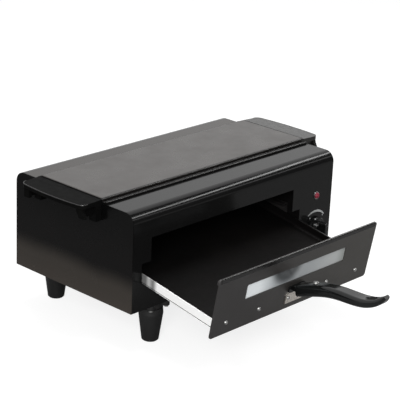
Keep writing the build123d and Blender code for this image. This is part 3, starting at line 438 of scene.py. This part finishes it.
def tube(name, path, radius, material, body, sides=8):
    """A thin round bead along a path."""
    points = []
    for i, place in enumerate(path):
        along = (path[min(i + 1, len(path) - 1)] - path[max(i - 1, 0)]).normalized()
        across = along.cross(Vector((0, 0, 1))).normalized()
        over = across.cross(along)
        for side in range(sides):
            turn = 2 * math.pi * side / sides
            points.append(place + radius * (math.cos(turn) * across + math.sin(turn) * over))
    faces = []
    for i in range(len(path) - 1):
        for side in range(sides):
            a, b = i * sides + side, i * sides + (side + 1) % sides
            faces.append((a, b, b + sides, a + sides))
    faces += [tuple(reversed(range(sides))), tuple(range(len(points) - sides, len(points)))]
    return add_piece(name, [tuple(point) for point in points], faces, material, body)


# Corners that round to the same hundredth of a millimetre are one
KEY_STEPS = 100000


def top_outline(node, nearest):
    """The outer edge of a top face, from front to back, beyond a distance from the middle."""
    mesh = nodes[node].data
    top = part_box(node)[1].z
    uses = {}
    for face in mesh.polygons:
        if face.normal.z > 0.99 and face.center.z > top - 0.003:
            corners = [mesh.vertices[i].co.copy() for i in face.vertices]
            keys = [tuple(round(value * KEY_STEPS) for value in corner) for corner in corners]
            for i in range(len(keys)):
                a, b = (keys[i], corners[i]), (keys[i - 1], corners[i - 1])
                uses.setdefault(frozenset((a[0], b[0])), []).append((a, b))
    places, links = {}, {}
    for pairs in uses.values():
        (key_a, a), (key_b, b) = pairs[0]
        if len(pairs) == 1 and min(abs(a.x), abs(b.x)) > nearest:
            places[key_a], places[key_b] = a, b
            links.setdefault(key_a, []).append(key_b)
            links.setdefault(key_b, []).append(key_a)
    ends = sorted((key for key, near in links.items() if len(near) == 1), key=lambda key: key[1])
    path, seen = [ends[0]], {ends[0]}
    while True:
        ahead = [key for key in links[path[-1]] if key not in seen]
        if not ahead:
            break
        path.append(ahead[0])
        seen.add(ahead[0])
    return [places[key] for key in path]


# Lid: a rolled hem at its foot, a lighter lip on each handle as a painted highlight, and a dark
# seam beside it
HEM_REACH = 0.0056
HEM_RADIUS = 0.0013
HEM_CLEARANCE = 0.0003
HEM_MIDDLE = CASE_HIGH.z + HEM_CLEARANCE + HEM_RADIUS - LID_LOW.z
HEM_END = LID_HIGH.x - 0.0012
LIP_TURNS = [math.radians(angle) for angle in range(200, -91, -29)]
HANDLE_LIP_START = 0.1925
HANDLE_LIP_RADIUS = 0.0006
SEAM_X = 0.19
SEAM_MARGIN = 0.002
SEAM_DEPTH = 0.0009
SEAM_RADIUS = 0.0007


def hem_profile(face_y, outwards):
    """A sloping flange that ends in a rolled lip just above the case, from the skirt's foot."""
    lip = [
        (HEM_REACH + HEM_RADIUS * math.cos(turn), HEM_MIDDLE + HEM_RADIUS * math.sin(turn))
        for turn in LIP_TURNS
    ]
    outline = [(0.0, 0.0014), (0.0012, 0.0009)] + lip + [(0.0, 0.0002)]
    return [(face_y + outwards * out, LID_LOW.z + up) for out, up in outline]


for name, face_y, outwards in (("lid_front_hem", LID_LOW.y, -1), ("lid_rear_hem", LID_HIGH.y, 1)):
    profile = hem_profile(face_y, outwards)
    bar(name, profile, -HEM_END, HEM_END, hem_black, "lid")
for side, word in ((-1, "left"), (1, "right")):
    inset = Vector((side * 0.0005, 0, 0.0003))
    lip = [place - inset for place in top_outline(word + "_lid_handle", HANDLE_LIP_START)]
    tube(word + "_handle_lip", lip, HANDLE_LIP_RADIUS, lip_highlight, "lid")
    seam = [
        Vector((side * SEAM_X, y, LID_HIGH.z - SEAM_DEPTH))
        for y in (LID_LOW.y + SEAM_MARGIN, LID_HIGH.y - SEAM_MARGIN)
    ]
    tube(word + "_handle_seam", seam, SEAM_RADIUS, seam_black, "lid")


# Directions along the drooping drawer: out of the slot and away from its floor
DROOP = math.radians(9.65)
RAIL_OUT = Vector((0, -math.cos(DROOP), -math.sin(DROOP)))
RAIL_UP = Vector((0, -math.sin(DROOP), math.cos(DROOP)))

# A thin dark tube along the lower edge of the left rail is a painted shadow line
NEAR_EDGE = 0.0003
SHADOW_LINE_HEIGHT = 0.0012
SHADOW_LINE_INSET = 0.0001
SHADOW_LINE_RADIUS = 0.00055
rail_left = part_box("tray_frame")[0].x
rail_points = [vertex.co.copy() for vertex in nodes["tray_frame"].data.vertices]
rail_side = [place for place in rail_points if place.x < rail_left + NEAR_EDGE]
rail_foot = min(place.dot(RAIL_UP) for place in rail_side)
rail_edge = [place for place in rail_side if place.dot(RAIL_UP) < rail_foot + NEAR_EDGE]
rail_ends = (min(rail_edge, key=RAIL_OUT.dot), max(rail_edge, key=RAIL_OUT.dot))
rail_shadow_line = [end + RAIL_UP * SHADOW_LINE_HEIGHT + Vector((SHADOW_LINE_INSET, 0, 0)) for end in rail_ends]
tube("left_rail_shadow_line", rail_shadow_line, SHADOW_LINE_RADIUS, seam_black, "drawer")

# A dull trim is folded over the top edge of the door
TRIM_DEPTH = 0.0055
TRIM_THICKNESS = 0.0004
TRIM_CLEARANCE = 0.0001
TRIM_END = 0.0035
CROWN_DEPTH = 0.0002
FACE_DEPTH = 0.012
door_points = [vertex.co for vertex in nodes["door_plate"].data.vertices]
door_crown = max(place.dot(RAIL_UP) for place in door_points)
crown_points = [place for place in door_points if place.dot(RAIL_UP) > door_crown - CROWN_DEPTH]
crown_front = max(place.dot(RAIL_OUT) for place in crown_points)
face_points = [place for place in door_points if place.dot(RAIL_UP) > door_crown - FACE_DEPTH]
door_front = max(place.dot(RAIL_OUT) for place in face_points)
bend = door_front - crown_front


def over_bend(thickness, angle):
    """A place above the bend at the top of the door, as far out and up as it lies."""
    reach = bend + thickness
    turn = math.radians(angle)
    return crown_front + reach * math.cos(turn), reach * math.sin(turn) - bend


trim_outline = [over_bend(TRIM_THICKNESS, angle) for angle in (90, 60, 30, 0)]
trim_outline.append((door_front + TRIM_THICKNESS, -TRIM_DEPTH))
trim_outline.append((door_front + TRIM_CLEARANCE, -TRIM_DEPTH))
trim_outline += [over_bend(TRIM_CLEARANCE, angle) for angle in (0, 30, 60, 90)]
trim_profile = []
for out, above in trim_outline:
    place = RAIL_OUT * out + RAIL_UP * (door_crown + above)
    trim_profile.append((place.y, place.z))
bar(
    "door_top_trim",
    trim_profile,
    DOOR_LOW.x + TRIM_END,
    DOOR_HIGH.x - TRIM_END,
    hem_black,
    "drawer",
)


# Printed dial on the front panel, a hair proud of it
PRINT_THICKNESS = 0.00008


def panel_print(name, points, faces):
    """A thin print on the front panel from points (x, z)."""
    mesh = bpy.data.meshes.new(name)
    mesh.from_pydata([(x, FRONT_Y - PRINT_THICKNESS, z) for x, z in points], [], faces)
    piece = bpy.data.objects.new(name, mesh)
    scene.collection.objects.link(piece)
    mesh.materials.append(print_white)
    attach(piece, "case")
    return piece


def dial_arc(name, start, end, radius, width, steps=32):
    """A tapered arc round the knob, from angle to angle in degrees."""
    points = []
    for step in range(steps + 1):
        share = step / steps
        angle = math.radians(start + (end - start) * share)
        swell = math.sin(math.pi * (0.08 + 0.84 * share)) ** 0.6
        for side in (-0.5, 0.5):
            r = radius + side * width * swell
            points.append((KNOB_X + r * math.cos(angle), KNOB_Z + r * math.sin(angle)))
    faces = [(2 * i, 2 * i + 2, 2 * i + 3, 2 * i + 1) for i in range(steps)]
    return panel_print(name, points, faces)


dial_arc("dial_arc", start=122, end=44, radius=0.0272, width=0.003)


def dial_dot(name, angle, radius, size, steps=16):
    """A round mark beside the knob."""
    x = KNOB_X + radius * math.cos(math.radians(angle))
    z = KNOB_Z + radius * math.sin(math.radians(angle))
    turns = [2 * math.pi * step / steps for step in range(steps)]
    points = [(x + size * math.cos(turn), z + size * math.sin(turn)) for turn in turns]
    return panel_print(name, points, [tuple(range(steps))])


dial_dot("dial_dot_left", angle=118, radius=0.0212, size=0.0011)
dial_dot("dial_dot_right", angle=48, radius=0.0245, size=0.0011)


# Floor: it keeps the oven's shadow, and the camera sees it near white
FLOOR_REACH = 6
FLOOR_GREY = 0.32
FLOOR_GLOW = 0.81


def stage_plane(name, corners, material):
    mesh = bpy.data.meshes.new(name)
    mesh.from_pydata(corners, [], [(0, 1, 2, 3)])
    piece = bpy.data.objects.new(name, mesh)
    scene.collection.objects.link(piece)
    mesh.materials.append(material)
    return piece


def floor_material():
    material = bpy.data.materials.new("floor_white")
    material.use_nodes = True
    tree = material.node_tree
    tree.nodes.clear()
    output = tree.nodes.new("ShaderNodeOutputMaterial")
    diffuse = tree.nodes.new("ShaderNodeBsdfDiffuse")
    diffuse.inputs["Color"].default_value = (FLOOR_GREY, FLOOR_GREY, FLOOR_GREY, 1)
    glow = tree.nodes.new("ShaderNodeEmission")
    glow.inputs["Color"].default_value = (1, 1, 1, 1)
    path = tree.nodes.new("ShaderNodeLightPath")
    amount = tree.nodes.new("ShaderNodeMath")
    amount.operation = "MULTIPLY"
    amount.inputs[1].default_value = FLOOR_GLOW
    tree.links.new(path.outputs["Is Camera Ray"], amount.inputs[0])
    tree.links.new(amount.outputs["Value"], glow.inputs["Strength"])
    both = tree.nodes.new("ShaderNodeAddShader")
    tree.links.new(diffuse.outputs["BSDF"], both.inputs[0])
    tree.links.new(glow.outputs["Emission"], both.inputs[1])
    tree.links.new(both.outputs["Shader"], output.inputs["Surface"])
    return material


CORNERS = ((-1, -1), (1, -1), (1, 1), (-1, 1))
floor_corners = [(x * FLOOR_REACH, y * FLOOR_REACH, 0) for x, y in CORNERS]
stage_plane("floor", floor_corners, floor_material())

# World: a plain fill, a white backdrop for the camera, and a room that only gloss sees
FILL_LIGHT = 0.42
world = bpy.data.worlds.new("studio")
world.use_nodes = True
scene.world = world
tree = world.node_tree
tree.nodes.clear()
world_output = tree.nodes.new("ShaderNodeOutputWorld")
light_path = tree.nodes.new("ShaderNodeLightPath")


def white_light(strength):
    node = tree.nodes.new("ShaderNodeBackground")
    node.inputs["Color"].default_value = (1, 1, 1, 1)
    node.inputs["Strength"].default_value = strength
    return node


def choose(amount, otherwise, chosen):
    """One shader where the amount is 0 and another where it is 1."""
    node = tree.nodes.new("ShaderNodeMixShader")
    tree.links.new(amount, node.inputs["Fac"])
    tree.links.new(otherwise, node.inputs[1])
    tree.links.new(chosen, node.inputs[2])
    return node.outputs["Shader"]


fill = white_light(FILL_LIGHT)
backdrop = white_light(1.0)
room = white_light(1.0)
# The room is dim in front of the oven and white behind it
direction = tree.nodes.new("ShaderNodeTexCoord")
direction_parts = tree.nodes.new("ShaderNodeSeparateXYZ")
tree.links.new(direction.outputs["Generated"], direction_parts.inputs["Vector"])
room_shade = ramp(tree, direction_parts.outputs["Y"], [(0.0, 0.04), (0.12, 1.0)])
tree.links.new(room_shade, room.inputs["Color"])
seen = tree.nodes.new("ShaderNodeMath")
seen.operation = "MAXIMUM"
tree.links.new(light_path.outputs["Is Camera Ray"], seen.inputs[0])
tree.links.new(light_path.outputs["Is Transmission Ray"], seen.inputs[1])
light = choose(
    light_path.outputs["Is Glossy Ray"], fill.outputs["Background"], room.outputs["Background"]
)
surroundings = choose(seen.outputs["Value"], light, backdrop.outputs["Background"])
tree.links.new(surroundings, world_output.inputs["Surface"])


# Lamps
def softbox(name, place, target, size, power):
    lamp = bpy.data.lights.new(name, "AREA")
    lamp.shape = "RECTANGLE"
    lamp.size, lamp.size_y = size
    lamp.energy = power
    piece = bpy.data.objects.new(name, lamp)
    scene.collection.objects.link(piece)
    piece.location = place
    direction = Vector(target) - Vector(place)
    piece.rotation_euler = direction.to_track_quat("-Z", "Y").to_euler()
    return piece


def strip_light(name, angle, distance, power):
    """A long tube along the oven's width, to its right, angle from straight up to the front."""
    angle = math.radians(angle)
    middle = (1.15, FRONT_Y - distance * math.sin(angle), 0.18 + distance * math.cos(angle))
    return softbox(name, middle, (0.2, FRONT_Y, 0.18), (1.3, 0.14), power)


OVEN_MIDDLE = (0, 0, 0.1)
softbox("top_softbox", (-0.1, 0.05, 1.7), OVEN_MIDDLE, size=(0.7, 0.5), power=12)
softbox("key_softbox", (-1.6, -1.15, 1.0), OVEN_MIDDLE, size=(0.8, 0.8), power=31)
strip_light("upper_strip", angle=24, distance=1.2, power=6.0)
strip_light("lower_strip", angle=54, distance=1.2, power=1.2)

# Camera, fitted to the corners of the case, the mouth, the drawer and the feet
FOCAL_PIXELS = 1501.97
FRAME_PIXELS = 400
SENSOR_WIDTH = 36
SHIFT_PIXELS = -0.9
AZIMUTH = math.radians(-47.38)
ELEVATION = math.radians(19.93)
ROLL = math.radians(2.54)
CAMERA_PLACE = Vector((-1.36381, FRONT_Y - 1.18722, CASE_BOTTOM + 0.75708))
back = Vector(
    (
        math.sin(AZIMUTH) * math.cos(ELEVATION),
        -math.cos(AZIMUTH) * math.cos(ELEVATION),
        math.sin(ELEVATION),
    )
)
right = (-back).cross(Vector((0, 0, 1))).normalized()
up = right.cross(-back)
right, up = (
    right * math.cos(ROLL) + up * math.sin(ROLL),
    up * math.cos(ROLL) - right * math.sin(ROLL),
)
camera_data = bpy.data.cameras.new("camera")
camera_data.sensor_width = SENSOR_WIDTH
camera_data.lens = SENSOR_WIDTH * FOCAL_PIXELS / FRAME_PIXELS
camera_data.shift_x = SHIFT_PIXELS / FRAME_PIXELS
camera_data.clip_end = 50
camera = bpy.data.objects.new("camera", camera_data)
scene.collection.objects.link(camera)
turn = Matrix((right, up, back)).transposed().to_4x4()
camera.matrix_world = Matrix.Translation(CAMERA_PLACE) @ turn
scene.camera = camera
scene.view_settings.view_transform = "Standard"
